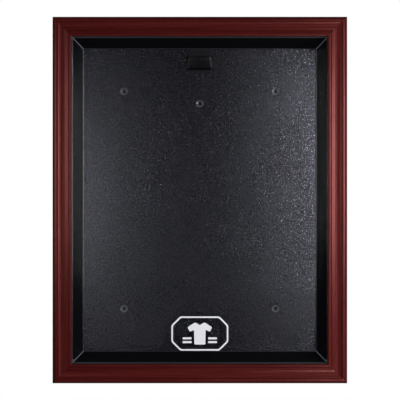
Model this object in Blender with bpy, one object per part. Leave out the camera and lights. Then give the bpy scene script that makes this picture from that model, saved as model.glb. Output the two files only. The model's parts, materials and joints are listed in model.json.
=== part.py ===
"""Hinged wall display frame for a sports jersey.

A shallow wooden case holds a formed black tray with a pocketed bracket for the garment hanger.
A mitred moulding with a clear pane is the door: it swings on two butt hinges on the left
and is held shut by two hook latches on the right.

Axes: +X to the right seen from the front, +Y towards the wall, +Z up, in metres.
The origin is the middle of the flat back, on the wall.
"""

import math

import bmesh
import bpy
from mathutils import Vector

MM = 0.001

# ---- driving dimensions -------------------------------------------------------------------
FRAME_WIDTH = 857.5 * MM
FRAME_HEIGHT = 1066.8 * MM
FACE_WIDTH = 56.4 * MM  # outer edge of the moulding to its sight edge
MOULDING_DEPTH = 28.0 * MM
DOOR_BACK = -61.0 * MM  # y of the moulding's back face
GAP = 0.3 * MM  # left between two pieces that touch
MITRE_GAP = 0.22 * MM  # taken off each end of a mitred bar

HALF_WIDTH = FRAME_WIDTH / 2
HALF_HEIGHT = FRAME_HEIGHT / 2

# rabbet, pane and the beads that hold it
RABBET_EDGE = 47.0 * MM  # distance in from the outer edge
RABBET_DEPTH = 11.5 * MM
PANE_THICKNESS = 2.5 * MM
PANE_FRONT = DOOR_BACK - RABBET_DEPTH + GAP
PANE_BACK = PANE_FRONT + PANE_THICKNESS
PANE_MARGIN = 47.5 * MM
BEAD_BACK = 1.0 * MM  # the beads stay this far inside the moulding's back face
BEAD_INSET = 0.8 * MM
BEAD_CHAMFER = 2.0 * MM

# nails across the mitres
NAIL_CORNER = 24.0 * MM  # the nail's corner, in from the moulding's outer edges
NAIL_LEG = 8.0 * MM
NAIL_HALF = 0.5 * MM
NAIL_DEPTH = 10.0 * MM

# case behind the door
OVERHANG = 12.0 * MM  # the door stands out past the case all round
CASE_HALF_WIDTH = HALF_WIDTH - OVERHANG
CASE_HALF_HEIGHT = HALF_HEIGHT - OVERHANG
BOARD = 18.0 * MM
CASE_FRONT = -58.0 * MM
BACK_PANEL = 3.0 * MM
BACK_PANEL_INSET = 3.0 * MM
PANEL_SCREW_Z = 250.0 * MM

# formed tray
TRAY_SHEET = 2.2 * MM
TRAY_FRONT = -60.5 * MM
TRAY_FLOOR = -11.0 * MM
MOUTH_HALF = (371.4 * MM, 474.0 * MM)
FLANGE_HALF = (408.5 * MM, 513.2 * MM)
WALL_DRAFT = 27.1 * MM  # the walls lean in by this much from mouth to floor
MOUTH_CORNER = 10.0 * MM
FLOOR_CORNER = 4.0 * MM
MOUTH_BEND = 3.0 * MM  # radius of the sheet's bend into the mouth
FLOOR_BEND = 5.0 * MM
DISH_RADIUS = 11.5 * MM
DISH_SEAT = 4.2 * MM
DISH_DEPTH = 3.4 * MM
WALL_SCREW_HOLE = 2.6 * MM
DISHES = [(x * MM, z * MM) for x in (-224, 224) for z in (-321, 321)] + [(0, 285 * MM)]
VENTS = [(-108 * MM, 428 * MM), (-4 * MM, -307 * MM)]
VENT_RADIUS = 2.0 * MM
TRAY_SCREW_Z = 120.0 * MM
TRAY_SCREW_INSET = 4.0 * MM

# bracket for the hanger
BRACKET_SCREW_Z = 390.2 * MM
BRACKET_PLATE = 2.0 * MM
BRACKET_SCREWS_X = (-18 * MM, 18 * MM)
BRACKET_HOLE = 1.6 * MM
BRACKET_HEAD = 1.8 * MM
PLATE_HALF = 33.0 * MM
PLATE_Z = (376.4 * MM, 444.0 * MM)
PLATE_CORNER = 3.0 * MM
POCKET_RADIUS = 10.0 * MM
POCKET_HALF = 30.0 * MM
POCKET_Z = 405.4 * MM
POCKET_OUT = 13.0 * MM  # the pocket's middle, out from the bracket's back
POCKET_CUT_TOP = 440.0 * MM

# butt hinges on the left
HINGE_Z = (360 * MM, -360 * MM)
HINGE_LENGTH = 50.0 * MM
KNUCKLE = 3.5 * MM
LEAF = 1.5 * MM
PIN_BORE = 1.8 * MM
DOOR_LEAF_REACH = 11.0 * MM
CASE_LEAF_REACH = 15.0 * MM
DOOR_LEAF_SCREW = 7.6 * MM  # from the pin
CASE_LEAF_SCREW = 10.0 * MM
LEAF_SCREW_OFFSET = 16.0 * MM
KNUCKLE_GAP = 0.2 * MM
HINGE_X = -CASE_HALF_WIDTH - GAP - KNUCKLE
HINGE_Y = DOOR_BACK + GAP + KNUCKLE

# hook latches on the right
LATCH_Z = (360 * MM, -360 * MM)
LATCH_X = CASE_HALF_WIDTH + 1.8 * MM  # inner face of the hook
LATCH_PIVOT_Y = -33.0 * MM
HOOK = 1.5 * MM
PIVOT_RADIUS = 2.0 * MM
STUD_REACH = 18.5 * MM  # pivot to stud
STUD = 1.6 * MM
STRIKE_SHEET = 1.2 * MM
STRIKE_X = HALF_WIDTH - 2.9 * MM  # inner face of the strike's upright flange
STRIKE_HALF = 10.0 * MM
STRIKE_REACH = 14.2 * MM
STRIKE_SCREW_DROP = 6.0 * MM
LATCH_PLATE = 1.2 * MM
LATCH_PLATE_SCREW = 14.0 * MM  # behind the pivot

# crest printed on the pane
CREST_Z = -388.9 * MM
CREST_THICKNESS = 0.4 * MM
CREST_SIZE = (83.0, 50.0, 26.0)  # half width, half height and corner cut of the border, in mm
CREST_LINE = 4.6
JERSEY_NECK = (0, 22)
JERSEY_HALF = [(7, 31), (15, 32), (36, 18), (29, 5), (17, 11), (16, -32)]

COLOURS = {  # base colour, roughness, metallic
    "mahogany": ((0.16, 0.030, 0.024), 0.35, 0.0),
    "clear_acrylic": ((0.9, 0.92, 0.92), 0.03, 0.0),
    "black_plastic": ((0.012, 0.012, 0.014), 0.45, 0.0),
    "hardboard": ((0.10, 0.06, 0.04), 0.8, 0.0),
    "zinc_steel": ((0.55, 0.55, 0.53), 0.3, 1.0),
    "brass_plate": ((0.60, 0.45, 0.20), 0.3, 1.0),
    "white_ink": ((0.9, 0.9, 0.9), 0.5, 0.0),
}


# ---- scene and objects --------------------------------------------------------------------
def clear_scene():
    for obj in list(bpy.data.objects):
        bpy.data.objects.remove(obj)


def material(name):
    found = bpy.data.materials.get(name)
    if found:
        return found
    colour, roughness, metallic = COLOURS[name]
    made = bpy.data.materials.new(name)
    made.use_nodes = True
    shader = made.node_tree.nodes["Principled BSDF"]
    shader.inputs["Base Color"].default_value = (*colour, 1.0)
    shader.inputs["Roughness"].default_value = roughness
    shader.inputs["Metallic"].default_value = metallic
    return made


def add_object(name, bm, finish=None, axis=None):
    """The mesh, built in world coordinates, as an object; axis is the empty on its joint."""
    bmesh.ops.recalc_face_normals(bm, faces=bm.faces)
    origin = axis.location if axis else Vector()
    bmesh.ops.translate(bm, verts=bm.verts, vec=-origin)
    mesh = bpy.data.meshes.new(name)
    bm.to_mesh(mesh)
    bm.free()
    obj = bpy.data.objects.new(name, mesh)
    bpy.context.collection.objects.link(obj)
    obj.parent = axis
    if finish:
        mesh.materials.append(material(finish))
        mesh.shade_smooth()
        mesh.set_sharp_from_angle(angle=math.radians(35))
    else:
        obj.hide_render = True
        obj.display_type = "WIRE"
    return obj


def joint_empty(name, location):
    empty = bpy.data.objects.new(name, None)
    bpy.context.collection.objects.link(empty)
    empty.location = location
    return empty


def boolean(obj, operation, other):
    modifier = obj.modifiers.new(f"{operation.lower()}_{other.name}", "BOOLEAN")
    modifier.operation = operation
    modifier.object = other


def cut(obj, cutter):
    boolean(obj, "DIFFERENCE", cutter)


def join(obj, other):
    boolean(obj, "UNION", other)


# ---- shapes -------------------------------------------------------------------------------
def loft(rings, closed_ends=True):
    """A bmesh through rings of equal length, with flat ends."""
    bm = bmesh.new()
    loops = [[bm.verts.new(point) for point in ring] for ring in rings]
    for first, second in zip(loops, loops[1:]):
        for i in range(len(first)):
            j = (i + 1) % len(first)
            bm.faces.new((first[i], first[j], second[j], second[i]))
    if closed_ends:
        bm.faces.new(loops[0])
        bm.faces.new(loops[-1])
    return bm


def along_x(a, b, w):
    return Vector((w, a, b))


def along_y(a, b, w):
    return Vector((a, w, b))


def along_z(a, b, w):
    return Vector((a, b, w))


def prism(outline, start, end, place):
    """The outline (a, b) extruded from start to end along place's axis."""
    return loft([[place(a, b, w) for a, b in outline] for w in (start, end)])


def box(low, high):
    outline = [(low[0], low[1]), (high[0], low[1]), (high[0], high[1]), (low[0], high[1])]
    return prism(outline, low[2], high[2], along_z)


def circle(radius, sides, centre=(0.0, 0.0)):
    step = 2 * math.pi / sides
    return [
        (centre[0] + radius * math.cos(step * i), centre[1] + radius * math.sin(step * i))
        for i in range(sides)
    ]


def arc(centre, radii, start, end, steps):
    """Points on an ellipse's arc, in degrees, both ends included."""
    points = []
    for i in range(steps + 1):
        angle = math.radians(start + (end - start) * i / steps)
        points.append(
            (centre[0] + radii[0] * math.cos(angle), centre[1] + radii[1] * math.sin(angle))
        )
    return points


def rounded_outline(half_width, low, high, low_radius, high_radius, steps):
    """A rectangle about a = 0, with its lower and upper corners rounded."""
    corners = [
        (half_width, high, high_radius, 0),
        (-half_width, high, high_radius, 90),
        (-half_width, low, low_radius, 180),
        (half_width, low, low_radius, 270),
    ]
    points = []
    for a, b, radius, start in corners:
        centre = (a - math.copysign(radius, a), b + (radius if b == low else -radius))
        points += arc(centre, (radius, radius), start, start + 90, steps)
    return points


def lathe(profile, tip, direction, sides=12):
    """Rings (radius, distance) turned about the line from tip along direction, X, Y or Z."""
    tip, direction = Vector(tip), Vector(direction)
    side = Vector((0, 0, 1)) if abs(direction.z) < 0.5 else Vector((1, 0, 0))
    across = direction.cross(side)
    rings = []
    for radius, distance in profile:
        centre = tip + direction * distance
        rings.append([centre + across * a + side * b for a, b in circle(radius, sides)])
    return loft(rings)


# ---- fasteners ----------------------------------------------------------------------------
SCREW_HEAD = 2.3 * MM
SCREW_SHANK = 1.1 * MM
SCREW_TAPER = 1.2 * MM
CASE_SCREW = 14.0 * MM
HARDWARE_SCREW = 12.0 * MM
RECESS_ARM = 1.4 * MM
RECESS_WIDTH = 0.35 * MM


def plus_outline(arm, half_width):
    quarter = [(arm, half_width), (half_width, half_width), (half_width, arm)]
    points = []
    for turn in range(4):
        c, s = round(math.cos(turn * math.pi / 2)), round(math.sin(turn * math.pi / 2))
        points += [(a * c - b * s, a * s + b * c) for a, b in quarter]
    return points


def countersunk_screw(name, point, direction, length, through, finish, axis=None):
    """A cross-head wood screw with its head flush at point, and its holes in other pieces."""
    point, direction = Vector(point), Vector(direction)
    taper_end = length - 2 * MM
    body = [
        (SCREW_HEAD, 0),
        (SCREW_SHANK, SCREW_TAPER),
        (SCREW_SHANK, taper_end),
        (0.3 * MM, length),
    ]
    screw = add_object(name, lathe(body, point, direction), finish, axis)
    side = Vector((0, 0, 1)) if abs(direction.z) < 0.5 else Vector((1, 0, 0))
    across = direction.cross(side)
    plus = plus_outline(RECESS_ARM, RECESS_WIDTH)
    recess = loft(
        [
            [point + direction * w + across * a + side * b for a, b in plus]
            for w in (-1 * MM, 0.7 * MM)
        ]
    )
    cut(screw, add_object(name + "_recess_cutter", recess, axis=axis))
    hole = [
        (SCREW_HEAD + GAP, -1 * MM),
        (SCREW_HEAD + GAP, 0),
        (SCREW_SHANK + GAP, SCREW_TAPER),
        (SCREW_SHANK + GAP, length + GAP),
    ]
    cutter = add_object(name + "_hole_cutter", lathe(hole, point, direction), axis=axis)
    for obj in through:
        cut(obj, cutter)
    return screw


# ---- door: moulding -----------------------------------------------------------------------
def hollow(lowest, radius, start, end, steps):
    """Points on the underside of a circle, by their distance across from its lowest point."""
    points = []
    for i in range(steps + 1):
        across = start + (end - start) * i / steps
        points.append((lowest[0] + across, lowest[1] + radius - math.sqrt(radius**2 - across**2)))
    return points


def moulding_section():
    """Round outer bead, scoop and small inner bead, with a narrow groove between them.

    Each point is its distance in from the outer edge and its height off the back face.
    """
    bead_foot = 15.0
    bead_width = 13.4
    scoop = (28.5, 22.2)  # where the scoop is lowest
    section = [(0, 0)]
    section += arc((bead_width, bead_foot), (bead_width, MOULDING_DEPTH / MM - bead_foot), 180, 90, 8)
    section += [(14.4, 27.3), (14.6, 24.9), (15.2, 24.9), (15.3, 26.1), (16.0, 26.3)]
    section += hollow(scoop, 21.7, -12.0, 0.0, 5)
    section += hollow(scoop, 35.4, 0.0, 16.0, 5)[1:]
    section += [(45.2, 26.1), (46.0, 26.0), (46.5, 25.2), (46.7, 24.0), (47.1, 24.0)]
    section += arc((51.8, 23.4), (4.5, 2.7), 160, 0, 6)
    section = [(s * MM, h * MM) for s, h in section]
    section += [
        (FACE_WIDTH, 23.0 * MM),
        (FACE_WIDTH, RABBET_DEPTH),
        (RABBET_EDGE, RABBET_DEPTH),
        (RABBET_EDGE, 0),
    ]
    return section


def mitred_bar(side, section):
    """One side of a mitred rectangle; section is in from the frame's edge and off DOOR_BACK."""
    sign = 1 if side in ("top", "right") else -1
    horizontal = side in ("top", "bottom")
    along, across = (HALF_WIDTH, HALF_HEIGHT) if horizontal else (HALF_HEIGHT, HALF_WIDTH)
    rings = []
    for end in (-1, 1):
        ring = []
        for inset, height in section:
            u = end * (along - inset - MITRE_GAP)
            v = sign * (across - inset)
            y = DOOR_BACK - height
            ring.append(Vector((u, y, v)) if horizontal else Vector((v, y, u)))
        rings.append(ring)
    return loft(rings)


def v_nail_outline(sx, sz, grow):
    """An angle whose corner lies on the mitre and whose legs run into the two bars."""
    leg, half = NAIL_LEG + grow, NAIL_HALF + grow
    x, z = HALF_WIDTH - NAIL_CORNER, HALF_HEIGHT - NAIL_CORNER
    angle = [(-half, -half), (leg, -half), (leg, half), (half, half), (half, leg), (-half, leg)]
    return [(sx * (x - u), sz * (z - v)) for u, v in angle]


def build_moulding(axis):
    bars = {
        "top": "top_rail",
        "bottom": "bottom_rail",
        "left": "left_stile",
        "right": "right_stile",
    }
    section = moulding_section()
    made = {
        side: add_object(name, mitred_bar(side, section), "mahogany", axis)
        for side, name in bars.items()
    }
    for vertical, sz in (("top", 1), ("bottom", -1)):
        for horizontal, sx in (("left", -1), ("right", 1)):
            bottom = DOOR_BACK - NAIL_DEPTH
            nail = prism(v_nail_outline(sx, sz, 0), DOOR_BACK - GAP, bottom, along_y)
            add_object(f"v_nail_{vertical}_{horizontal}", nail, "zinc_steel", axis)
            slot = prism(
                v_nail_outline(sx, sz, GAP), DOOR_BACK + NAIL_DEPTH, bottom - GAP, along_y
            )
            cutter = add_object(f"v_nail_{vertical}_{horizontal}_cutter", slot, axis=axis)
            cut(made[vertical], cutter)
            cut(made[horizontal], cutter)
    return made


def build_glazing(axis):
    half = (HALF_WIDTH - PANE_MARGIN, HALF_HEIGHT - PANE_MARGIN)
    pane = box((-half[0], PANE_FRONT, -half[1]), (half[0], PANE_BACK, half[1]))
    add_object("clear_pane", pane, "clear_acrylic", axis)
    high = DOOR_BACK - PANE_BACK - GAP
    outer, inner = RABBET_EDGE + GAP, FACE_WIDTH - BEAD_INSET
    section = [
        (outer, BEAD_BACK),
        (outer, high),
        (inner, high),
        (inner, BEAD_BACK + BEAD_CHAMFER),
        (inner - BEAD_CHAMFER, BEAD_BACK),
    ]
    for side in ("top", "bottom", "left", "right"):
        add_object(f"pane_bead_{side}", mitred_bar(side, section), "black_plastic", axis)


def build_crest(axis):
    """A plain jersey outline in an eight-sided border, printed on the front of the pane."""
    back = PANE_FRONT - GAP
    front = back - CREST_THICKNESS

    def octagon(half_width, half_height, chamfer):
        quarter = [(half_width, half_height - chamfer), (half_width - chamfer, half_height)]
        right = [(a, -b) for a, b in reversed(quarter)] + quarter
        left = [(-a, -b) for a, b in right]
        return [(a * MM, b * MM + CREST_Z) for a, b in right + left]

    half_width, half_height, chamfer = CREST_SIZE
    outer = octagon(half_width, half_height, chamfer)
    inner_chamfer = chamfer - CREST_LINE * (2 - math.sqrt(2))
    inner = octagon(half_width - CREST_LINE, half_height - CREST_LINE, inner_chamfer)
    rings = [
        [along_y(a, b, y) for a, b in ring]
        for ring, y in ((outer, front), (outer, back), (inner, back), (inner, front))
    ]
    border = loft(rings + rings[:1], closed_ends=False)
    bmesh.ops.remove_doubles(border, verts=border.verts, dist=0.01 * MM)
    add_object("crest_border", border, "white_ink", axis)
    outline = [JERSEY_NECK] + JERSEY_HALF + [(-a, b) for a, b in reversed(JERSEY_HALF)]
    jersey = prism([(a * MM, b * MM + CREST_Z) for a, b in outline], front, back, along_y)
    add_object("crest_jersey", jersey, "white_ink", axis)


# ---- case ---------------------------------------------------------------------------------
def build_case():
    back = -BACK_PANEL - GAP
    inner_width = CASE_HALF_WIDTH - BOARD
    inner_height = CASE_HALF_HEIGHT - BOARD
    boards = {}
    for name, sign in (("case_top", 1), ("case_bottom", -1)):
        low, high = sorted((sign * inner_height, sign * CASE_HALF_HEIGHT))
        bm = box((-CASE_HALF_WIDTH, CASE_FRONT, low), (CASE_HALF_WIDTH, back, high))
        boards[name] = add_object(name, bm, "mahogany")
    for name, sign in (("case_left", -1), ("case_right", 1)):
        low, high = sorted((sign * inner_width, sign * CASE_HALF_WIDTH))
        reach = inner_height - GAP
        bm = box((low, CASE_FRONT, -reach), (high, back, reach))
        boards[name] = add_object(name, bm, "mahogany")
    half = (CASE_HALF_WIDTH - BACK_PANEL_INSET, CASE_HALF_HEIGHT - BACK_PANEL_INSET)
    panel = add_object(
        "back_panel", box((-half[0], -BACK_PANEL, -half[1]), (half[0], 0, half[1])), "hardboard"
    )
    for side, board, x in (("left", "case_left", -1), ("right", "case_right", 1)):
        for level, z in (("upper", PANEL_SCREW_Z), ("lower", -PANEL_SCREW_Z)):
            countersunk_screw(
                f"back_panel_screw_{level}_{side}",
                (x * (CASE_HALF_WIDTH - BOARD / 2), 0, z),
                (0, -1, 0),
                CASE_SCREW,
                (panel, boards[board]),
                "zinc_steel",
            )
    return boards


# ---- tray ---------------------------------------------------------------------------------
def tray_rings():
    """Front surface of the tray as rounded rectangles, from the flange in to the floor."""
    depth = TRAY_FLOOR - TRAY_FRONT
    lean = math.atan2(WALL_DRAFT, depth)
    section = [(FLANGE_HALF[0] - MOUTH_HALF[0], 0.0)]  # outward from the mouth, back from it
    turn = math.pi / 2 - lean
    steps = 4
    for i in range(steps + 1):
        angle = turn * i / steps
        out = MOUTH_BEND * (math.tan(turn / 2) - math.sin(angle))
        section.append((out, MOUTH_BEND * (1 - math.cos(angle))))
    for i in range(steps + 1):
        angle = turn * (1 - i / steps)
        out = FLOOR_BEND * (math.sin(angle) - math.tan(turn / 2)) - WALL_DRAFT
        section.append((out, depth - FLOOR_BEND * (1 - math.cos(angle))))
    rings = []
    for out, back in section:
        share = min(1.0, max(0.0, back / depth))
        corner = MOUTH_CORNER + (FLOOR_CORNER - MOUTH_CORNER) * share
        half_height = MOUTH_HALF[1] + out
        outline = rounded_outline(
            MOUTH_HALF[0] + out, -half_height, half_height, corner, corner, 4
        )
        rings.append([along_y(a, b, TRAY_FRONT + back) for a, b in outline])
    return rings


def build_tray(boards):
    """One sheet with dished seats for the wall screws, thickened by a Solidify modifier."""
    bm = loft(tray_rings(), closed_ends=False)
    boundary = [
        edge
        for edge in bm.edges
        if edge.is_boundary and all(abs(v.co.y - TRAY_FLOOR) < 0.01 * MM for v in edge.verts)
    ]

    def ring(centre, radius, y, sides):
        return [bm.verts.new(along_y(a, b, y)) for a, b in circle(radius, sides, centre)]

    def bridge(first, second):
        for i in range(len(first)):
            j = (i + 1) % len(first)
            bm.faces.new((first[i], first[j], second[j], second[i]))

    def hole_edges(verts):
        return [bm.edges.new((verts[i], verts[(i + 1) % len(verts)])) for i in range(len(verts))]

    for centre in DISHES:
        mouth = ring(centre, DISH_RADIUS, TRAY_FLOOR, 20)
        boundary += hole_edges(mouth)
        seat = ring(centre, DISH_SEAT, TRAY_FLOOR + DISH_DEPTH, 20)
        hole = ring(centre, WALL_SCREW_HOLE, TRAY_FLOOR + DISH_DEPTH, 20)
        bridge(mouth, seat)
        bridge(seat, hole)
    for centre in VENTS:
        boundary += hole_edges(ring(centre, VENT_RADIUS, TRAY_FLOOR, 10))
    for x in BRACKET_SCREWS_X:
        boundary += hole_edges(ring((x, BRACKET_SCREW_Z), BRACKET_HOLE, TRAY_FLOOR, 12))
    bmesh.ops.triangle_fill(bm, edges=boundary, use_beauty=True, normal=(0, -1, 0))
    tray = add_object("tray", bm, "black_plastic")
    if tray.data.polygons[0].normal.y > 0:
        tray.data.flip_normals()
    solidify = tray.modifiers.new("sheet", "SOLIDIFY")
    solidify.thickness = TRAY_SHEET
    solidify.offset = -1
    solidify.use_even_offset = True
    for name, board, x, z in (
        ("upper_left", "case_left", -1, TRAY_SCREW_Z),
        ("lower_left", "case_left", -1, -TRAY_SCREW_Z),
        ("upper_right", "case_right", 1, TRAY_SCREW_Z),
        ("lower_right", "case_right", 1, -TRAY_SCREW_Z),
    ):
        countersunk_screw(
            f"tray_screw_{name}",
            (x * (FLANGE_HALF[0] - TRAY_SCREW_INSET), TRAY_FRONT, z),
            (0, 1, 0),
            CASE_SCREW,
            (tray, boards[board]),
            "zinc_steel",
        )
    return tray


# ---- bracket for the hanger ---------------------------------------------------------------
def build_bracket():
    plate_front = TRAY_FLOOR - GAP - BRACKET_PLATE
    plate_outline = rounded_outline(PLATE_HALF, *PLATE_Z, PLATE_CORNER, PLATE_CORNER, 3)
    plate = add_object(
        "bracket_plate",
        prism(plate_outline, TRAY_FLOOR - GAP, plate_front, along_y),
        "black_plastic",
    )
    base = plate_front - GAP
    sections = [  # y, half width, bottom, top, bottom radius, top radius
        (base, 42.8, 383.8, 424.5, 3, 3),
        (base - 24.0 * MM, 35.8, 384.6, 420.7, 3, 10),
        (base - 26.6 * MM, 35.0, 385.4, 419.9, 3, 9.4),
        (base - 27.8 * MM, 32.8, 387.8, 417.5, 2.5, 7.5),
    ]
    rings = []
    for y, half_width, low, high, low_radius, high_radius in sections:
        outline = rounded_outline(
            half_width * MM, low * MM, high * MM, low_radius * MM, high_radius * MM, 5
        )
        rings.append([along_y(a, b, y) for a, b in outline])
    bracket = add_object("hanger_bracket", loft(rings), "black_plastic")
    middle = base - POCKET_OUT
    pocket = arc((middle, POCKET_Z), (POCKET_RADIUS, POCKET_RADIUS), 180, 360, 10)
    pocket += [(middle + POCKET_RADIUS, POCKET_CUT_TOP), (middle - POCKET_RADIUS, POCKET_CUT_TOP)]
    pocket_solid = prism(pocket, -POCKET_HALF, POCKET_HALF, along_x)
    cut(bracket, add_object("bracket_pocket_cutter", pocket_solid))
    for side, x in zip(("left", "right"), BRACKET_SCREWS_X):
        name = f"bracket_screw_{side}"
        head_back = TRAY_FLOOR + TRAY_SHEET + GAP
        pan_head = [(1.2, 0), (2.4, 0.8), (2.4, 1.8), (1.1, 1.8), (1.1, 7.9), (0.4, 8.6)]
        body = [(radius * MM, distance * MM) for radius, distance in pan_head]
        start = (x, head_back + BRACKET_HEAD, BRACKET_SCREW_Z)
        add_object(name, lathe(body, start, (0, -1, 0)), "zinc_steel")
        outline = circle(BRACKET_HOLE, 12, (x, BRACKET_SCREW_Z))
        hole = prism(outline, head_back + BRACKET_HEAD, head_back - 7.4 * MM, along_y)
        cutter = add_object(f"bracket_hole_{side}_cutter", hole)
        cut(plate, cutter)
        cut(bracket, cutter)


# ---- hinges -------------------------------------------------------------------------------
def knuckle_outline(reach):
    """Section of a leaf rolled round the pin: the leaf runs along +a, tangent at b = -KNUCKLE."""
    inner = KNUCKLE - LEAF
    meet = math.degrees(math.asin(-inner / KNUCKLE))
    rolled = arc((0, 0), (KNUCKLE, KNUCKLE), -90, -360 + meet, 14)
    return [(reach, -KNUCKLE)] + rolled + [(reach, -inner)]


def hinge_leaf(name, level, segments, reach, place, axis):
    clear = KNUCKLE + 0.6 * MM
    plate_outline = [
        (clear, -KNUCKLE),
        (reach, -KNUCKLE),
        (reach, LEAF - KNUCKLE),
        (clear, LEAF - KNUCKLE),
    ]
    half = HINGE_LENGTH / 2
    plate = prism(plate_outline, level - half, level + half, place)
    leaf = add_object(name, plate, "brass_plate", axis)
    step = HINGE_LENGTH / 5
    for number in segments:
        low = level - half + step * number + (0 if number == 0 else KNUCKLE_GAP)
        high = level - half + step * (number + 1) - (0 if number == 4 else KNUCKLE_GAP)
        rolled = prism(knuckle_outline(clear + 2 * MM), low, high, place)
        join(leaf, add_object(f"{name}_knuckle_{number}", rolled, axis=axis))
    bore = prism(circle(PIN_BORE, 16), level - HINGE_LENGTH, level + HINGE_LENGTH, place)
    cut(leaf, add_object(f"{name}_bore_cutter", bore, axis=axis))
    return leaf


def build_hinges(boards, moulding, door_axis):
    def on_door(a, b, w):
        return Vector((HINGE_X + a, HINGE_Y + b, w))

    def on_case(a, b, w):
        return Vector((HINGE_X - b, HINGE_Y + a, w))

    for name, level in zip(("upper", "lower"), HINGE_Z):
        door_leaf = hinge_leaf(
            f"{name}_hinge_door_leaf", level, (1, 3), DOOR_LEAF_REACH, on_door, door_axis
        )
        case_leaf = hinge_leaf(
            f"{name}_hinge_case_leaf", level, (0, 2, 4), CASE_LEAF_REACH, on_case, None
        )
        reach = HINGE_LENGTH / 2 + 1.2 * MM
        pin = [(1.0, 0), (2.4, 0.4), (2.4, 0.9), (1.5, 0.9)]
        profile = [(radius * MM, distance * MM) for radius, distance in pin]
        profile += [(radius, 2 * reach - distance) for radius, distance in reversed(profile)]
        tip = (HINGE_X, HINGE_Y, level - reach)
        add_object(f"{name}_hinge_pin", lathe(profile, tip, (0, 0, 1), 16), "brass_plate")
        for place, offset in (("high", LEAF_SCREW_OFFSET), ("low", -LEAF_SCREW_OFFSET)):
            countersunk_screw(
                f"{name}_door_leaf_screw_{place}",
                (HINGE_X + DOOR_LEAF_SCREW, HINGE_Y - KNUCKLE + LEAF, level + offset),
                (0, -1, 0),
                HARDWARE_SCREW,
                (door_leaf, moulding["left"]),
                "brass_plate",
                door_axis,
            )
            countersunk_screw(
                f"{name}_case_leaf_screw_{place}",
                (HINGE_X + KNUCKLE - LEAF, HINGE_Y + CASE_LEAF_SCREW, level + offset),
                (1, 0, 0),
                HARDWARE_SCREW,
                (case_leaf, boards["case_left"]),
                "brass_plate",
            )


# ---- hook latches -------------------------------------------------------------------------
def hook_outline():
    """The hook seen from the side: distance forward of the pivot, height above it, in mm."""
    lobe = arc((0, 0), (4.6, 4.6), 300, 90, 10)
    nose = arc((23.2, 4.5), (2.0, 2.0), 90, 0, 4)
    tooth = [(25.2, -2.4), (24.2, -3.4), (22.0, -3.4), (21.0, -2.4), (21.0, 2.0), (6.0, 2.0)]
    return lobe + [(6.0, 6.5)] + nose + tooth


def build_latch(name, level, boards, moulding, door_axis):
    pivot = joint_empty(f"{name}_latch_axis", (LATCH_X, LATCH_PIVOT_Y, level))

    def beside(a, b, w):  # a runs forward of the pivot, b up, w to the right
        return Vector((w, LATCH_PIVOT_Y - a, level + b))

    outline = [(a * MM, b * MM) for a, b in hook_outline()]
    hook = add_object(
        f"{name}_latch_hook", prism(outline, LATCH_X, LATCH_X + HOOK, beside), "zinc_steel", pivot
    )
    tab = [(19.0, 5.3), (25.0, 5.3), (25.0, 6.5), (19.0, 6.5)]
    tab = [(a * MM, b * MM - 0.05 * MM) for a, b in tab]
    tab_solid = prism(tab, LATCH_X + 0.4 * MM, LATCH_X + 5.6 * MM, beside)
    join(hook, add_object(f"{name}_tab", tab_solid, axis=pivot))
    bore = prism(circle(PIVOT_RADIUS + 0.35 * MM, 16), 0.40, 0.44, beside)
    bore_cutter = add_object(f"{name}_pivot_bore_cutter", bore, axis=pivot)
    cut(hook, bore_cutter)

    plate_start = CASE_HALF_WIDTH + GAP
    plate_outline = [
        (a * MM, b * MM)
        for a, b in arc((8, 0), (7, 7), 90, -90, 8) + arc((-14, 0), (7, 7), 270, 90, 8)
    ]
    plate = add_object(
        f"{name}_latch_plate",
        prism(plate_outline, plate_start, plate_start + LATCH_PLATE, beside),
        "zinc_steel",
    )
    shoulder = [(1.0, 0), (2.0, 1.0), (2.0, 11.0), (3.8, 11.0), (3.8, 12.2), (2.6, 13.0)]
    shoulder = [(radius * MM, distance * MM) for radius, distance in shoulder]
    tip = (LATCH_X + HOOK + GAP - 11 * MM, LATCH_PIVOT_Y, level)
    add_object(f"{name}_latch_pivot", lathe(shoulder, tip, (1, 0, 0), 16), "zinc_steel")
    hole = [(PIVOT_RADIUS + GAP, -GAP), (PIVOT_RADIUS + GAP, 13 * MM)]
    hole_cutter = add_object(f"{name}_pivot_hole_cutter", lathe(hole, tip, (1, 0, 0), 16))
    cut(plate, hole_cutter)
    cut(boards["case_right"], hole_cutter)
    countersunk_screw(
        f"{name}_latch_plate_screw",
        (plate_start + LATCH_PLATE, LATCH_PIVOT_Y + LATCH_PLATE_SCREW, level),
        (-1, 0, 0),
        HARDWARE_SCREW,
        (plate, boards["case_right"]),
        "zinc_steel",
    )
    build_strike(name, level, moulding, door_axis)


def build_strike(name, level, moulding, door_axis):
    """The angle on the door's back whose stud the hook drops over."""
    front = DOOR_BACK + GAP
    outer = STRIKE_X + STRIKE_SHEET
    back = front + STRIKE_REACH
    angle = [
        (LATCH_X, front),
        (outer, front),
        (outer, back),
        (STRIKE_X, back),
        (STRIKE_X, front + STRIKE_SHEET),
        (LATCH_X, front + STRIKE_SHEET),
    ]
    solid = prism(angle, level - STRIKE_HALF, level + STRIKE_HALF, along_z)
    strike = add_object(f"{name}_strike", solid, "zinc_steel", door_axis)
    stud_y = LATCH_PIVOT_Y - STUD_REACH
    length = outer - LATCH_X + 0.3 * MM
    stud = lathe([(STUD, 0), (STUD, length)], (outer + 0.2 * MM, stud_y, level), (-1, 0, 0))
    join(strike, add_object(f"{name}_stud", stud, axis=door_axis))
    countersunk_screw(
        f"{name}_strike_screw",
        ((LATCH_X + STRIKE_X) / 2, front + STRIKE_SHEET, level - STRIKE_SCREW_DROP),
        (0, -1, 0),
        HARDWARE_SCREW,
        (strike, moulding["right"]),
        "zinc_steel",
        door_axis,
    )


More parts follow.
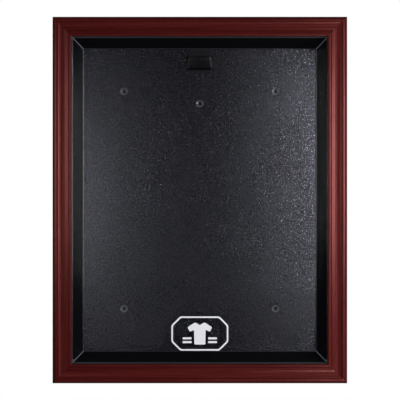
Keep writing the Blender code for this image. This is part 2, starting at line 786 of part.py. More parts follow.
def main():
    clear_scene()
    door_axis = joint_empty("door_hinge_axis", (HINGE_X, HINGE_Y, 0))
    bpy.context.view_layer.update()
    moulding = build_moulding(door_axis)
    build_glazing(door_axis)
    build_crest(door_axis)
    boards = build_case()
    build_tray(boards)
    build_bracket()
    build_hinges(boards, moulding, door_axis)
    for name, level in zip(("upper", "lower"), LATCH_Z):
        build_latch(name, level, boards, moulding, door_axis)


main()
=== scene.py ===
"""Looks of the hinged jersey display frame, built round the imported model."""

import json
import math

import bmesh
import bpy
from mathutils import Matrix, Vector

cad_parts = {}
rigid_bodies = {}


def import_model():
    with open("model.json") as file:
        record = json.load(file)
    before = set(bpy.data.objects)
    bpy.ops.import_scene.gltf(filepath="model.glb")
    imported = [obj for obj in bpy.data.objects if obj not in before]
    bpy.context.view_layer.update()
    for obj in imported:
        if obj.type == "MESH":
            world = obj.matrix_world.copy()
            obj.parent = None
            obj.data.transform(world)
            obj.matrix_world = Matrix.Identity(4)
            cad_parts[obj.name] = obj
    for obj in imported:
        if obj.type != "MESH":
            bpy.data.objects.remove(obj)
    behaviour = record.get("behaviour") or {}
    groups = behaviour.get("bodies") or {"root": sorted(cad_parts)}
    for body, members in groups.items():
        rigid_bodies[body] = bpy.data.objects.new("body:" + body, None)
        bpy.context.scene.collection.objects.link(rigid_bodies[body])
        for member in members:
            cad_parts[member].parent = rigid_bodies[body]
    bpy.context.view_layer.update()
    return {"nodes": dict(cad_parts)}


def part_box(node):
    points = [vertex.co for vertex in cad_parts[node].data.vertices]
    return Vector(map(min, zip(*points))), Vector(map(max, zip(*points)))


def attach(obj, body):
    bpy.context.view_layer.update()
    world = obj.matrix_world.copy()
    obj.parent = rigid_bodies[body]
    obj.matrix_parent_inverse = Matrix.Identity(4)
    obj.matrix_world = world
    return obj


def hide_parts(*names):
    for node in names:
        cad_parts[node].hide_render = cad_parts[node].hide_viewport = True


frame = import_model()

MM = 0.001
GAP = 0.3 * MM

# ---- places taken from the frame ----------------------------------------------------------
DOOR_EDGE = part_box("left_stile")[0]  # the moulding's lower left front corner
HALF_WIDTH, HALF_HEIGHT = -DOOR_EDGE.x, -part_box("bottom_rail")[0].z
DOOR_FRONT = DOOR_EDGE.y
DOOR_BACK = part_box("left_stile")[1].y
TRAY_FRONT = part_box("tray")[0].y
TRAY_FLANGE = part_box("tray")[1]
TRAY_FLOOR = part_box("bracket_plate")[1].y + GAP
BRACKET_LOW, BRACKET_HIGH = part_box("hanger_bracket")
CREST_LOW, CREST_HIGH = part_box("crest_border")

# ---- sizes --------------------------------------------------------------------------------
FACE_WIDTH = 56.4 * MM
RABBET_EDGE = 47.0 * MM
RABBET_DEPTH = 11.5 * MM
MITRE_GAP = 0.22 * MM
TRAY_SHEET = 2.2 * MM
MOUTH_HALF = (371.4 * MM, 474.0 * MM)
WALL_DRAFT = 27.1 * MM
MOUTH_CORNER = 10.0 * MM
FLOOR_CORNER = 4.0 * MM
MOUTH_BEND = 3.0 * MM
FLOOR_BEND = 5.0 * MM
DISHES = [(x * MM, z * MM) for x in (-224, 224) for z in (-321, 321)] + [(0, 285 * MM)]
DISH_RINGS = [  # radius and depth behind the tray's floor, in millimetres
    (12.0, 0),
    (11.6, 0.08),
    (11.2, 0.25),
    (4.8, 3.15),
    (4.4, 3.32),
    (4.0, 3.4),
    (3.0, 3.4),
    (2.6, 3.7),
]
VENTS = [(-108 * MM, 428 * MM), (-4 * MM, -307 * MM)]
VENT_RADIUS = 2.0 * MM
# the crest's own sizes, in millimetres
CREST_LINE = 4.6
CREST_CHAMFER = 26.0
HALF_SHIRT = [(7, 31), (15, 32), (36, 18), (29, 5), (17, 11), (16, -32)]
SHIRT_NECK = (0, 24)
BAR_START, BAR_END = 24.0, 50.0
BAR_LEVELS = (-14.0, -25.0)
BAR_HALF_HEIGHT = 3.0
POCKET_RADIUS = 10.0 * MM
POCKET_OUT = 13.0 * MM  # the pocket's middle, out from the bracket's back
POCKET_UP = 21.6 * MM  # and up from the bracket's underside
POCKET_HALF = 30.0 * MM
POCKET_PAST_TOP = 20.0 * MM
# in millimetres: out from the base, drawn in at side, bottom and top, corner radius low and high
BRACKET_LEVELS = [
    (0.0, 0.0, 0.0, 0.0, 3.0, 3.0),
    (24.0, 7.0, 0.8, 3.8, 3.0, 10.0),
    (25.4, 7.6, 1.3, 4.4, 3.0, 9.4),
    (26.8, 8.8, 2.4, 5.6, 2.8, 8.6),
    (27.8, 11.0, 4.6, 7.8, 2.5, 7.5),
]
# how far the visible edges are eased
BRACKET_EDGE = 0.8 * MM
BOARD_EDGE = 0.6 * MM
PLATE_EDGE = 0.5 * MM
THIN_EDGE = 0.3 * MM
METAL_EDGE = 0.12 * MM

# ---- view and light -----------------------------------------------------------------------
VIEW_DISTANCE = 4.34
VIEW_WIDTH = 1.1612  # metres across the picture at the moulding's face
SENSOR = 36.0
CAMERA_OFFSET = (0.47 * MM, 0.15 * MM)  # right of and above the frame's middle
FLOOR_RADIUS = 1.45
FLOOR_LEVEL = -0.80
WORLD_SEEN = 1.0
WORLD_FILL = 0.004
STRIP_Y = -4.4
STRIP_WIDTH = 0.12
STRIP_COLOUR = (1.0, 0.985, 1.14)


# ---- shapes -------------------------------------------------------------------------------
def arc(centre, radii, start, end, steps):
    """Points on an ellipse's arc, in degrees, both ends included."""
    points = []
    for i in range(steps + 1):
        angle = math.radians(start + (end - start) * i / steps)
        points.append(
            (centre[0] + radii[0] * math.cos(angle), centre[1] + radii[1] * math.sin(angle))
        )
    return points


def circle(radius, sides, centre=(0.0, 0.0)):
    step = 2 * math.pi / sides
    return [
        (centre[0] + radius * math.cos(step * i), centre[1] + radius * math.sin(step * i))
        for i in range(sides)
    ]


def rounded_outline(half_width, low, high, low_radius, high_radius, steps):
    """A rectangle about a = 0 with rounded corners, anticlockwise from its right side."""
    corners = [
        (half_width, high, high_radius, 0),
        (-half_width, high, high_radius, 90),
        (-half_width, low, low_radius, 180),
        (half_width, low, low_radius, 270),
    ]
    points = []
    for a, b, radius, start in corners:
        centre = (a - math.copysign(radius, a), b + (radius if b == low else -radius))
        points += arc(centre, (radius, radius), start, start + 90, steps)
    return points


def loft(rings, closed_ends=True):
    bm = bmesh.new()
    loops = [[bm.verts.new(point) for point in ring] for ring in rings]
    for first, second in zip(loops, loops[1:]):
        bridge(bm, first, second)
    if closed_ends:
        bm.faces.new(loops[0])
        bm.faces.new(loops[-1])
    return bm


def bridge(bm, first, second):
    for i in range(len(first)):
        j = (i + 1) % len(first)
        bm.faces.new((first[i], first[j], second[j], second[i]))


def prism_x(outline, left, right):
    return loft([[Vector((x, a, b)) for a, b in outline] for x in (left, right)])


def make_object(name, bm, smooth_angle=35):
    bmesh.ops.recalc_face_normals(bm, faces=bm.faces)
    mesh = bpy.data.meshes.new(name)
    bm.to_mesh(mesh)
    bm.free()
    mesh.shade_smooth()
    mesh.set_sharp_from_angle(angle=math.radians(smooth_angle))
    obj = bpy.data.objects.new(name, mesh)
    bpy.context.scene.collection.objects.link(obj)
    return obj


def piece(obj, material, body, slot, *nodes):
    """Puts a finished piece on its body, in place of the CAD nodes it stands for."""
    obj.data.materials.clear()
    obj.data.materials.append(material)
    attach(obj, body)
    if nodes:
        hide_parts(*nodes)
    return obj


def ease_edges(obj, width, segments=2):
    bevel = obj.modifiers.new("eased_edges", "BEVEL")
    bevel.width = width
    bevel.segments = segments
    bevel.limit_method = "ANGLE"
    bevel.angle_limit = math.radians(40)
    bevel.harden_normals = False
    return bevel


# ---- node materials -----------------------------------------------------------------------
class Nodes:
    """A material's node tree, with short calls for the nodes used here."""

    def __init__(self, name, base, roughness, metallic=0.0):
        self.material = bpy.data.materials.new(name)
        self.material.use_nodes = True
        self.tree = self.material.node_tree
        self.shader = self.tree.nodes["Principled BSDF"]
        self.set("Base Color", (*base, 1.0))
        self.set("Roughness", roughness)
        self.set("Metallic", metallic)
        self.where = self.add("ShaderNodeTexCoord").outputs["Object"]

    def add(self, kind, **settings):
        node = self.tree.nodes.new(kind)
        for key, value in settings.items():
            setattr(node, key, value)
        return node

    def link(self, source, target):
        self.tree.links.new(source, target)

    def set(self, socket, value):
        self.shader.inputs[socket].default_value = value

    def drive(self, socket, source):
        self.link(source, self.shader.inputs[socket])

    def stretch(self, scale, source=None):
        node = self.add("ShaderNodeMapping")
        node.inputs["Scale"].default_value = scale
        self.link(source or self.where, node.inputs["Vector"])
        return node.outputs["Vector"]

    def noise(self, vector, scale=1.0, detail=3.0, roughness=0.5, distortion=0.0):
        node = self.add("ShaderNodeTexNoise")
        node.inputs["Scale"].default_value = scale
        node.inputs["Detail"].default_value = detail
        node.inputs["Roughness"].default_value = roughness
        node.inputs["Distortion"].default_value = distortion
        self.link(vector, node.inputs["Vector"])
        return node.outputs["Fac"]

    def cells(self, vector, scale):
        node = self.add("ShaderNodeTexVoronoi")
        node.inputs["Scale"].default_value = scale
        self.link(vector, node.inputs["Vector"])
        return node.outputs["Distance"]

    def spread(self, source, low, high, to_low=0.0, to_high=1.0):
        node = self.add("ShaderNodeMapRange")
        limits = {"From Min": low, "From Max": high, "To Min": to_low, "To Max": to_high}
        for name, value in limits.items():
            node.inputs[name].default_value = value
        self.link(source, node.inputs["Value"])
        return node.outputs["Result"]

    def math(self, operation, first, second):
        node = self.add("ShaderNodeMath", operation=operation)
        for socket, value in zip(node.inputs, (first, second)):
            if isinstance(value, (int, float)):
                socket.default_value = value
            else:
                self.link(value, socket)
        return node.outputs["Value"]

    def blend(self, share, dark, light):
        """Colour between dark and light; each is a colour or a socket."""
        node = self.add("ShaderNodeMix", data_type="RGBA")
        self.link(share, node.inputs["Factor"])
        for name, value in (("A", dark), ("B", light)):
            socket = next(s for s in node.inputs if s.name == name and s.type == "RGBA")
            if isinstance(value, tuple):
                socket.default_value = (*value, 1.0)
            else:
                self.link(value, socket)
        return next(s for s in node.outputs if s.type == "RGBA")

    def axis(self, name):
        """One coordinate of the object's own place: X, Y or Z."""
        node = self.add("ShaderNodeSeparateXYZ")
        self.link(self.where, node.inputs[0])
        return node.outputs[name]

    def bump(self, height, distance, strength=1.0, under=None):
        node = self.add("ShaderNodeBump")
        node.inputs["Distance"].default_value = distance
        node.inputs["Strength"].default_value = strength
        self.link(height, node.inputs["Height"])
        if under:
            self.link(under, node.inputs["Normal"])
        return node.outputs["Normal"]


def along_grain(direction, across, along):
    """Texture scale per metre for grain that runs along X, Y or Z."""
    return tuple(along if axis == direction else across for axis in "XYZ")


def mahogany(direction):
    """Red-brown stained wood under a satin lacquer, its grain along X or Z."""
    n = Nodes(f"mahogany_grain_{direction.lower()}", (0.10, 0.012, 0.011), 0.34)
    fibres = n.noise(n.stretch(along_grain(direction, 420, 7)), detail=4, roughness=0.6)
    figure = n.noise(n.stretch(along_grain(direction, 38, 1.6)), detail=2, distortion=0.6)
    pores = n.noise(n.stretch(along_grain(direction, 1500, 45)), detail=1)
    tone = n.math("ADD", n.math("MULTIPLY", fibres, 0.55), n.math("MULTIPLY", figure, 0.45))
    stain = n.blend(n.spread(tone, 0.36, 0.64), (0.076, 0.0085, 0.0078), (0.132, 0.0165, 0.0148))
    pore_share = n.spread(pores, 0.60, 0.70)
    n.drive("Base Color", n.blend(pore_share, stain, (0.045, 0.006, 0.0055)))
    n.drive("Roughness", n.spread(fibres, 0.3, 0.7, 0.22, 0.30))
    soft = n.bump(figure, 0.25 * MM, 0.4)
    n.drive("Normal", n.bump(n.spread(pores, 0.7, 0.6), 0.05 * MM, 0.35, soft))
    n.set("Specular IOR Level", 0.55)
    n.set("Specular Tint", (1.0, 0.36, 0.34, 1.0))
    return n.material


def haircell_plastic():
    """Black vacuum-formed sheet: haircell grain on the flat floor, drawn smooth on the walls."""
    n = Nodes("black_haircell_plastic", (0.006, 0.006, 0.008), 0.25)
    wander = n.noise(n.stretch((60, 60, 60)), detail=2)
    place = n.add("ShaderNodeVectorMath", operation="ADD")
    n.link(n.where, place.inputs[0])
    shift = n.add("ShaderNodeVectorMath", operation="SCALE")
    shift.inputs["Scale"].default_value = 4 * MM
    n.link(wander, shift.inputs[0])
    n.link(shift.outputs[0], place.inputs[1])
    vector = place.outputs[0]
    coarse = n.noise(n.stretch((285, 285, 250), vector), detail=1)
    fine = n.cells(n.stretch((620, 620, 430), vector), 1.0)
    grain = n.math("ADD", n.math("MULTIPLY", coarse, 4.0), n.math("MULTIPLY", fine, 0.3))
    depth = n.axis("Y")
    flat = n.spread(depth, TRAY_FLOOR - 2.5 * MM, TRAY_FLOOR - 0.5 * MM)
    n.drive("Normal", n.bump(n.math("MULTIPLY", grain, flat), 0.11 * MM, 1.0))
    gloss = n.noise(n.stretch((300, 300, 240)), detail=2)
    n.drive("Roughness", n.spread(gloss, 0.3, 0.7, 0.14, 0.20))
    speckle = n.noise(n.stretch((270, 270, 270)), detail=0)
    specks = n.spread(speckle, 0.44, 0.62)
    floor = n.blend(specks, (0.0003, 0.0003, 0.0006), (0.0150, 0.0150, 0.0210))
    # painted highlight and shade in the dishes: their cone walls are far paler than the sheet so
    # the lamps draw bright crescents on them, and the deep seat round each hole is painted near
    # black as shade
    dish_wall_highlight = n.spread(depth, TRAY_FLOOR + 0.1 * MM, TRAY_FLOOR + 0.5 * MM)
    dish_seat_shade = n.spread(depth, TRAY_FLOOR + 2.5 * MM, TRAY_FLOOR + 3.0 * MM)
    sheet = n.blend(flat, (0.0055, 0.0055, 0.0065), floor)
    sheet = n.blend(dish_wall_highlight, sheet, (0.085, 0.088, 0.095))
    sheet = n.blend(dish_seat_shade, sheet, (0.001, 0.001, 0.0012))
    # painted highlights: pale lines along the wall corners, round the rim and where the floor
    # meets the walls stand in for light caught where the sheet turns
    across, up = (n.math("ABSOLUTE", n.axis(axis), 0.0) for axis in "XZ")
    corner_line = MOUTH_HALF[0] - MOUTH_HALF[1]
    off_corner = n.math("SUBTRACT", n.math("SUBTRACT", across, up), corner_line)
    crease_highlight = n.spread(n.math("ABSOLUTE", off_corner, 0.0), 0.8 * MM, 2.2 * MM, 1.0, 0.0)
    wall = n.math("SUBTRACT", 1.0, flat)
    mouth_highlight = n.spread(depth, TRAY_FRONT + 0.3 * MM, TRAY_FRONT + 1.8 * MM, 0.13, 0.0)
    bend_highlight = n.math("MULTIPLY", n.math("MULTIPLY", flat, wall), 0.6)
    crease_highlight = n.math("MULTIPLY", crease_highlight, wall)
    pale = n.math("MAXIMUM", crease_highlight, n.math("MAXIMUM", mouth_highlight, bend_highlight))
    # the painted highlight lines are laid over the sheet's colour
    n.drive("Base Color", n.blend(pale, sheet, (0.23, 0.25, 0.275)))
    return n.material


def moulded_plastic():
    """Black injection-moulded plastic with a fine spark-eroded texture."""
    n = Nodes("black_moulded_plastic", (0.004, 0.004, 0.005), 0.20)
    grain = n.noise(n.stretch((900, 900, 900)), detail=2)
    n.drive("Normal", n.bump(grain, 0.06 * MM, 0.5))
    n.drive("Roughness", n.spread(grain, 0.3, 0.7, 0.17, 0.24))
    return n.material


def clear_acrylic():
    """A thin polished sheet: see-through, with each face mirroring more at a slant."""
    n = Nodes("clear_acrylic", (0.97, 0.98, 0.98), 0.015, 1.0)
    facing = n.add("ShaderNodeLayerWeight")
    facing.inputs["Blend"].default_value = 0.5
    mirror = n.math("MULTIPLY", n.math("POWER", facing.outputs["Facing"], 5.0), 0.96)
    clear = n.add("ShaderNodeBsdfTransparent")
    clear.inputs["Color"].default_value = (0.985, 0.992, 0.99, 1.0)
    mix = n.add("ShaderNodeMixShader")
    n.link(n.math("ADD", mirror, 0.04), mix.inputs["Fac"])
    n.link(clear.outputs["BSDF"], mix.inputs[1])
    n.link(n.shader.outputs["BSDF"], mix.inputs[2])
    n.link(mix.outputs["Shader"], n.tree.nodes["Material Output"].inputs["Surface"])
    haze = n.noise(n.stretch((30, 30, 30)), detail=3)
    n.drive("Roughness", n.spread(haze, 0.3, 0.7, 0.012, 0.03))
    return n.material


def white_ink():
    n = Nodes("white_screen_ink", (0.86, 0.86, 0.86), 0.55)
    dots = n.noise(n.stretch((800, 800, 800)), detail=2)
    n.drive("Base Color", n.blend(dots, (0.80, 0.80, 0.80), (0.92, 0.92, 0.92)))
    n.drive("Normal", n.bump(dots, 0.03 * MM, 0.4))
    return n.material


def plated_metal(name, base, bright, roughness, direction):
    """Plated sheet or wire: drawn lines along one axis and faint blotches."""
    n = Nodes(name, base, roughness, 1.0)
    lines = n.noise(n.stretch(along_grain(direction, 2600, 60)), detail=2)
    blotch = n.noise(n.stretch((120, 120, 120)), detail=3)
    n.drive("Base Color", n.blend(n.spread(blotch, 0.3, 0.7), base, bright))
    n.drive("Roughness", n.spread(lines, 0.3, 0.7, roughness - 0.06, roughness + 0.08))
    n.drive("Normal", n.bump(lines, 0.02 * MM, 0.4))
    return n.material


def hardboard():
    """Brown board; its face behind the tray is darkened to near black, a painted shade for the
    dark seen through the tray's holes.
    """
    n = Nodes("tempered_hardboard", (0.11, 0.065, 0.04), 0.7)
    fibre = n.noise(n.stretch((260, 260, 260)), detail=5, roughness=0.7, distortion=1.2)
    cloud = n.noise(n.stretch((9, 9, 9)), detail=3)
    tone = n.math("ADD", n.math("MULTIPLY", fibre, 0.6), n.math("MULTIPLY", cloud, 0.4))
    bare = n.blend(n.spread(tone, 0.35, 0.65), (0.060, 0.034, 0.020), (0.17, 0.105, 0.065))
    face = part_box("back_panel")[0].y
    behind = n.spread(n.axis("Y"), face, face + 0.4 * MM)
    # painted shade: near black on the face behind the tray, brown elsewhere
    n.drive("Base Color", n.blend(behind, (0.004, 0.004, 0.004), bare))
    n.drive("Roughness", n.spread(fibre, 0.3, 0.7, 0.55, 0.8))
    n.drive("Normal", n.bump(fibre, 0.25 * MM, 0.5))
    return n.material


# ---- door ---------------------------------------------------------------------------------
def moulding_section():
    """The moulding's section: distance in from the outer edge, height off the back face."""
    section = arc((0.8, 0.8), (0.8, 0.8), 270, 180, 4)
    section += arc((13.4, 15.0), (13.4, 13.0), 180, 90, 30)
    section += arc((13.4, 27.2), (1.1, 0.8), 80, 0, 4)
    section += [(14.55, 25.1), (14.7, 24.9), (15.0, 24.9), (15.15, 25.1), (15.2, 25.8)]
    section += arc((15.9, 25.7), (0.7, 0.7), 150, 66, 4)
    section += hollow((28.5, 22.2), 21.7, -12.0, 0.0, 16)
    section += hollow((28.5, 22.2), 35.4, 0.0, 16.0, 20)[1:]
    section += arc((45.5, 25.2), (1.0, 1.0), 110, 0, 8)
    section += [(46.55, 24.2), (46.7, 24.0), (47.1, 24.0), (47.25, 24.2)]
    section += arc((51.8, 23.4), (4.5, 2.7), 160, 0, 18)
    section = [(s * MM, h * MM) for s, h in section]
    section += [(FACE_WIDTH, 23.0 * MM)]
    section += [(FACE_WIDTH, RABBET_DEPTH), (RABBET_EDGE, RABBET_DEPTH), (RABBET_EDGE, 0)]
    return section


def hollow(lowest, radius, start, end, steps):
    """Points on the underside of a circle, by their distance across from its lowest point."""
    points = []
    for i in range(steps + 1):
        across = start + (end - start) * i / steps
        points.append((lowest[0] + across, lowest[1] + radius - math.sqrt(radius**2 - across**2)))
    return points


def mitred_bar(side, section):
    sign = 1 if side in ("top", "right") else -1
    horizontal = side in ("top", "bottom")
    along, across = (HALF_WIDTH, HALF_HEIGHT) if horizontal else (HALF_HEIGHT, HALF_WIDTH)
    rings = []
    for end in (-1, 1):
        ring = []
        for inset, height in section:
            u = end * (along - inset - MITRE_GAP)
            v = sign * (across - inset)
            y = DOOR_BACK - height
            ring.append(Vector((u, y, v)) if horizontal else Vector((v, y, u)))
        rings.append(ring)
    return loft(rings)


def build_mouldings(wood):
    section = moulding_section()
    for side, node, grain in (
        ("top", "top_rail", "X"),
        ("bottom", "bottom_rail", "X"),
        ("left", "left_stile", "Z"),
        ("right", "right_stile", "Z"),
    ):
        bar = make_object(f"{side}_moulding", mitred_bar(side, section), 30)
        piece(bar, wood[grain], "door", "mahogany", node)


def crest_outline(half_width, half_height, chamfer, radius=5.0, steps=4):
    """An eight-sided outline with softened corners, about the origin, in millimetres."""
    corners = []
    for sx, sz in ((1, 1), (-1, 1), (-1, -1), (1, -1)):
        beside = (sx * half_width, sz * (half_height - chamfer))
        above = (sx * (half_width - chamfer), sz * half_height)
        pair = [beside, above]
        corners += pair if sx == sz else pair[::-1]
    return softened(corners, radius, steps)


def softened(corners, radius, steps):
    """The closed outline with each corner turned into a short curve."""
    points = []
    for i, corner in enumerate(corners):
        here = Vector(corner)
        before, after = Vector(corners[i - 1]), Vector(corners[(i + 1) % len(corners)])
        reach = min(radius, (before - here).length / 2.2, (after - here).length / 2.2)
        first = here + (before - here).normalized() * reach
        last = here + (after - here).normalized() * reach
        for k in range(steps + 1):
            t = k / steps
            points.append(tuple(first * (1 - t) ** 2 + here * (2 * t * (1 - t)) + last * t**2))
    return points


def build_crest(ink):
    """A plain jersey between two pairs of bars, in an eight-sided border."""
    centre = (CREST_LOW + CREST_HIGH) / 2
    half = (CREST_HIGH - CREST_LOW) / 2
    front, back = CREST_LOW.y, CREST_HIGH.y
    size = (half.x / MM, half.z / MM)

    def placed(points, y):
        return [Vector((a * MM, y, centre.z + b * MM)) for a, b in points]

    outer = crest_outline(size[0], size[1], CREST_CHAMFER)
    inner_chamfer = CREST_CHAMFER - CREST_LINE * (2 - math.sqrt(2))
    inner = crest_outline(size[0] - CREST_LINE, size[1] - CREST_LINE, inner_chamfer)
    bm = bmesh.new()
    loops = [
        [bm.verts.new(p) for p in placed(ring, y)]
        for ring, y in ((outer, front), (outer, back), (inner, back), (inner, front))
    ]
    for i in range(4):
        bridge(bm, loops[i], loops[(i + 1) % 4])
    other_half = [(-a, b) for a, b in reversed(HALF_SHIRT)]
    shirt = softened([SHIRT_NECK] + HALF_SHIRT + other_half, 3.0, 4)
    shapes = [shirt]
    for side in (-1, 1):
        for level in BAR_LEVELS:
            low, high = level - BAR_HALF_HEIGHT, level + BAR_HALF_HEIGHT
            bar = [(BAR_START, low), (BAR_END, low), (BAR_END, high), (BAR_START, high)]
            shapes.append(softened([(side * a, b) for a, b in bar], 1.5, 3))
    for shape in shapes:
        first, second = ([bm.verts.new(p) for p in placed(shape, y)] for y in (front, back))
        bridge(bm, first, second)
        bm.faces.new(first)
        bm.faces.new(second)
    bmesh.ops.triangulate(bm, faces=[f for f in bm.faces if len(f.verts) > 4])
    crest = make_object("crest_print", bm)
    piece(crest, ink, "door", "white_ink", "crest_border", "crest_jersey")


# ---- tray ---------------------------------------------------------------------------------
def tray_rings():
    """The tray's front surface as rounded rectangles, from the flange in to the floor."""
    depth = TRAY_FLOOR - TRAY_FRONT
    lean = math.atan2(WALL_DRAFT, depth)
    section = [(TRAY_FLANGE.x - MOUTH_HALF[0], 0.0)]
    turn = math.pi / 2 - lean
    steps = 10
    for i in range(steps + 1):
        angle = turn * i / steps
        out = MOUTH_BEND * (math.tan(turn / 2) - math.sin(angle))
        section.append((out, MOUTH_BEND * (1 - math.cos(angle))))
    for i in range(steps + 1):
        angle = turn * (1 - i / steps)
        out = FLOOR_BEND * (math.sin(angle) - math.tan(turn / 2)) - WALL_DRAFT
        section.append((out, depth - FLOOR_BEND * (1 - math.cos(angle))))
    rings = []
    for out, back in section:
        share = min(1.0, max(0.0, back / depth))
        corner = MOUTH_CORNER + (FLOOR_CORNER - MOUTH_CORNER) * share
        half_height = MOUTH_HALF[1] + out
        half_width = MOUTH_HALF[0] + out
        outline = rounded_outline(half_width, -half_height, half_height, corner, corner, 10)
        rings.append([Vector((a, TRAY_FRONT + back, b)) for a, b in outline])
    return rings


def build_tray(plastic):
    bm = loft(tray_rings(), closed_ends=False)
    boundary = [
        edge
        for edge in bm.edges
        if edge.is_boundary and all(abs(v.co.y - TRAY_FLOOR) < 0.01 * MM for v in edge.verts)
    ]

    def ring(centre, radius, depth, sides=40):
        points = circle(radius, sides, centre)
        return [bm.verts.new(Vector((a, TRAY_FLOOR + depth, b))) for a, b in points]

    def closed_edges(verts):
        return [bm.edges.new((verts[i], verts[(i + 1) % len(verts)])) for i in range(len(verts))]

    for centre in DISHES:
        rings = [ring(centre, radius * MM, depth * MM) for radius, depth in DISH_RINGS]
        boundary += closed_edges(rings[0])
        for first, second in zip(rings, rings[1:]):
            bridge(bm, first, second)
    for centre in VENTS:
        boundary += closed_edges(ring(centre, VENT_RADIUS, 0, 16))
    bmesh.ops.triangle_fill(bm, edges=boundary, use_beauty=True, normal=(0, -1, 0))
    tray = make_object("formed_tray", bm, 50)
    if tray.data.polygons[0].normal.y > 0:
        tray.data.flip_normals()
    for face in tray.data.polygons:
        face.use_smooth = abs(face.normal.y) < 0.99999
    solidify = tray.modifiers.new("sheet", "SOLIDIFY")
    solidify.thickness = TRAY_SHEET
    solidify.offset = -1
    piece(tray, plastic, "case", "black_plastic", "tray")


def build_bracket(plastic):
    """The hanger's bracket: a tapered boss with a pocket open at the top."""
    base = BRACKET_HIGH.y
    low, high = BRACKET_LOW.z, BRACKET_HIGH.z
    half = BRACKET_HIGH.x
    steps = 10
    rings = []
    for out, side, bottom, top, low_radius, high_radius in BRACKET_LEVELS:
        outline = rounded_outline(
            half - side * MM,
            low + bottom * MM,
            high - top * MM,
            low_radius * MM,
            high_radius * MM,
            steps,
        )
        rings.append([Vector((a, base - out * MM, b)) for a, b in outline])
    bracket = make_object("moulded_bracket", loft(rings), 30)
    centre = (base - POCKET_OUT, low + POCKET_UP)
    pocket = arc(centre, (POCKET_RADIUS, POCKET_RADIUS), 180, 360, 24)
    past_top = high + POCKET_PAST_TOP
    pocket += [(centre[0] + POCKET_RADIUS, past_top), (centre[0] - POCKET_RADIUS, past_top)]
    cutter = make_object("pocket_cutter", prism_x(pocket, -POCKET_HALF, POCKET_HALF))
    cut = bracket.modifiers.new("pocket", "BOOLEAN")
    cut.operation = "DIFFERENCE"
    cut.object = cutter
    evaluated = bracket.evaluated_get(bpy.context.evaluated_depsgraph_get())
    bracket.data = bpy.data.meshes.new_from_object(evaluated)
    bracket.modifiers.clear()
    bpy.data.objects.remove(cutter)
    ease_edges(bracket, BRACKET_EDGE, 3)
    piece(bracket, plastic, "case", "black_plastic", "hanger_bracket")


# ---- CAD nodes that keep their shape --------------------------------------------------------
def dress(node, material, edge=0.0):
    obj = frame["nodes"][node]
    obj.data.materials.clear()
    obj.data.materials.append(material)
    if edge:
        ease_edges(obj, edge)


def dress_cad_nodes(wood, plastic, clear, zinc, brass, board):
    for side, grain in (("top", "X"), ("bottom", "X"), ("left", "Z"), ("right", "Z")):
        dress(f"case_{side}", wood[grain], BOARD_EDGE)
    dress("back_panel", board, THIN_EDGE)
    dress("clear_pane", clear)
    dress("bracket_plate", plastic, PLATE_EDGE)
    for side in ("top", "bottom", "left", "right"):
        dress(f"pane_bead_{side}", plastic, THIN_EDGE)
    for node in frame["nodes"]:
        if "hinge" in node or "leaf_screw" in node:
            dress(node, brass, METAL_EDGE)
        elif "screw" in node or "v_nail" in node or "latch" in node or "strike" in node:
            dress(node, zinc, METAL_EDGE)


# ---- studio -------------------------------------------------------------------------------
def softbox(name, place, size, power, colour=(1.0, 1.0, 1.0), lit=None):
    """An area light aimed at the middle of the frame; lit is the collection it is kept to."""
    light = bpy.data.lights.new(name, "AREA")
    light.shape = "RECTANGLE"
    light.size, light.size_y = size
    light.energy = power
    light.color = colour
    obj = bpy.data.objects.new(name, light)
    bpy.context.scene.collection.objects.link(obj)
    obj.location = place
    obj.rotation_euler = (-Vector(place)).to_track_quat("-Z", "Y").to_euler()
    obj.visible_camera = False
    if lit:
        obj.light_linking.receiver_collection = lit
    return obj


def build_world(seen, fill):
    """Pale to the eye, and a dimmer even fill as light."""
    world = bpy.data.worlds.new("studio")
    bpy.context.scene.world = world
    world.use_nodes = True
    tree = world.node_tree
    background = tree.nodes["Background"]
    ray = tree.nodes.new("ShaderNodeLightPath")
    mix = tree.nodes.new("ShaderNodeMix")
    mix.data_type = "RGBA"
    mix.inputs[6].default_value = (fill, fill, fill, 1.0)
    mix.inputs[7].default_value = (seen, seen, seen, 1.0)
    tree.links.new(ray.outputs["Is Camera Ray"], mix.inputs["Factor"])
    tree.links.new(mix.outputs[2], background.inputs["Color"])


def build_floor():
    """A pale disc under the frame, which casts no shadow and shows in no reflection."""
    bm = bmesh.new()
    bmesh.ops.create_circle(bm, cap_ends=True, radius=FLOOR_RADIUS, segments=96)
    floor = make_object("studio_floor", bm)
    floor.location = (0, 0, FLOOR_LEVEL)
    n = Nodes("pale_floor", (0.82, 0.82, 0.82), 0.8)
    speckle = n.noise(n.stretch((40, 40, 40)), detail=4)
    n.drive("Base Color", n.blend(speckle, (0.80, 0.80, 0.80), (0.84, 0.84, 0.84)))
    floor.data.materials.append(n.material)
    floor.visible_diffuse = False
    floor.visible_glossy = False
    floor.visible_shadow = False
    return floor


def build_camera():
    camera = bpy.data.objects.new("camera", bpy.data.cameras.new("camera"))
    bpy.context.scene.collection.objects.link(camera)
    camera.data.sensor_width = SENSOR
    camera.data.lens = SENSOR * VIEW_DISTANCE / VIEW_WIDTH
    camera.location = (CAMERA_OFFSET[0], DOOR_FRONT - VIEW_DISTANCE, CAMERA_OFFSET[1])
    camera.rotation_euler = (math.pi / 2, 0, 0)
    bpy.context.scene.camera = camera


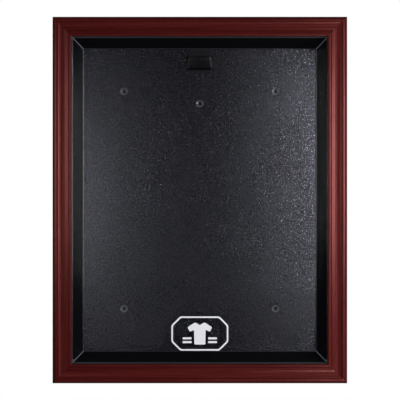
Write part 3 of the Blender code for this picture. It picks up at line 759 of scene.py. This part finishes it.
def build_lights(floor):
    """Softboxes at the sides, strips by the camera for the tray, and lamps kept to one group."""
    made = bpy.data.objects
    tray, bracket, crest = made["formed_tray"], made["moulded_bracket"], made["crest_print"]
    mouldings = [made[f"{side}_moulding"] for side in ("top", "bottom", "left", "right")]
    nodes = frame["nodes"]
    pane = nodes["clear_pane"]
    stood_for = [
        nodes[name] for name in ("top_rail", "bottom_rail", "left_stile", "right_stile", "tray")
    ]
    case_nodes = [obj for obj in nodes.values() if obj not in stood_for and obj != pane]
    tray_side = group("tray_side", [tray, crest, nodes["bracket_plate"]])
    bracket_side = group("bracket_side", [bracket])
    crest_side = group("crest_side", [crest])
    wood_side = group("wood_side", mouldings)
    case_side = group("case_side", case_nodes)
    floor_side = group("floor_side", [floor])
    pane_side = group("pane_side", [pane])
    not_pane = group("not_pane", mouldings + case_nodes + [tray, bracket, crest])

    softbox("right_side", (1.6, -1.0, 0.12), (0.3, 0.7), 6.8, lit=not_pane)
    softbox("right_key", (1.7, -2.0, 0.18), (0.3, 0.8), 15.5, lit=not_pane)
    softbox("left_side", (-1.6, -1.0, 0.18), (0.3, 0.7), 3.4, lit=not_pane)
    softbox("left_key", (-1.7, -2.0, 0.22), (0.3, 0.7), 4.5, lit=not_pane)
    softbox("top_fill", (0.8, -1.5, 1.4), (0.5, 0.4), 2.4, lit=not_pane)
    softbox("low_fill", (0.8, -1.5, -1.4), (0.5, 0.4), 10.0, lit=wood_side)
    softbox("right_front", (1.1, -3.2, 0), (0.3, 1.2), 7.0, lit=wood_side)
    softbox("left_front", (-1.1, -3.2, 0), (0.3, 0.4), 2.0, lit=wood_side)
    softbox("bracket_right", (1.2, -1.5, 1.55), (0.8, 0.8), 40.0, lit=bracket_side)
    softbox("bracket_left", (-1.2, -1.5, 1.55), (0.8, 0.8), 24.0, lit=bracket_side)
    softbox("crest_fill", (0.9, -2.6, 0.6), (0.6, 0.6), 14.0, lit=crest_side)
    for name, x, z, height, power in (
        ("right_strip", 1.3, 0.28, 1.2, 53.0),
        ("right_low_strip", 0.8, -0.6, 0.6, 2.4),
        ("left_strip", -1.1, 0.1, 0.8, 12.5),
        ("left_low_strip", -0.8, -0.6, 0.6, 2.0),
    ):
        softbox(name, (x, STRIP_Y, z), (STRIP_WIDTH, height), power, STRIP_COLOUR, tray_side)
    for side in (-1, 1):
        softbox("pane_sheen", (2.0 * side, -2.4, 0.5), (0.9, 1.6), 4.0, lit=pane_side)
        softbox("back_fill", (1.9 * side, 2.4, 1.6), (1.6, 1.6), 16, lit=case_side)
        softbox("side_fill", (2.6 * side, 0.5, 0.4), (1.2, 1.6), 14, lit=case_side)
    softbox("floor_wash", (0, 0, 2.4), (3.0, 3.0), 150, lit=floor_side)


def group(name, objects):
    """A collection that only says which objects a light is kept to."""
    collection = bpy.data.collections.new(name)
    for obj in objects:
        collection.objects.link(obj)
    return collection


def main():
    build_camera()
    build_world(WORLD_SEEN, WORLD_FILL)
    floor = build_floor()
    bpy.context.scene.view_settings.view_transform = "Standard"
    wood = {axis: mahogany(axis) for axis in "XZ"}
    moulded = moulded_plastic()
    zinc = plated_metal("zinc_plate", (0.46, 0.46, 0.45), (0.62, 0.62, 0.60), 0.30, "Y")
    brass = plated_metal("brass_plate", (0.50, 0.35, 0.14), (0.66, 0.50, 0.24), 0.26, "Z")
    build_mouldings(wood)
    build_crest(white_ink())
    build_tray(haircell_plastic())
    build_bracket(moulded)
    dress_cad_nodes(wood, moulded, clear_acrylic(), zinc, brass, hardboard())
    build_lights(floor)


main()
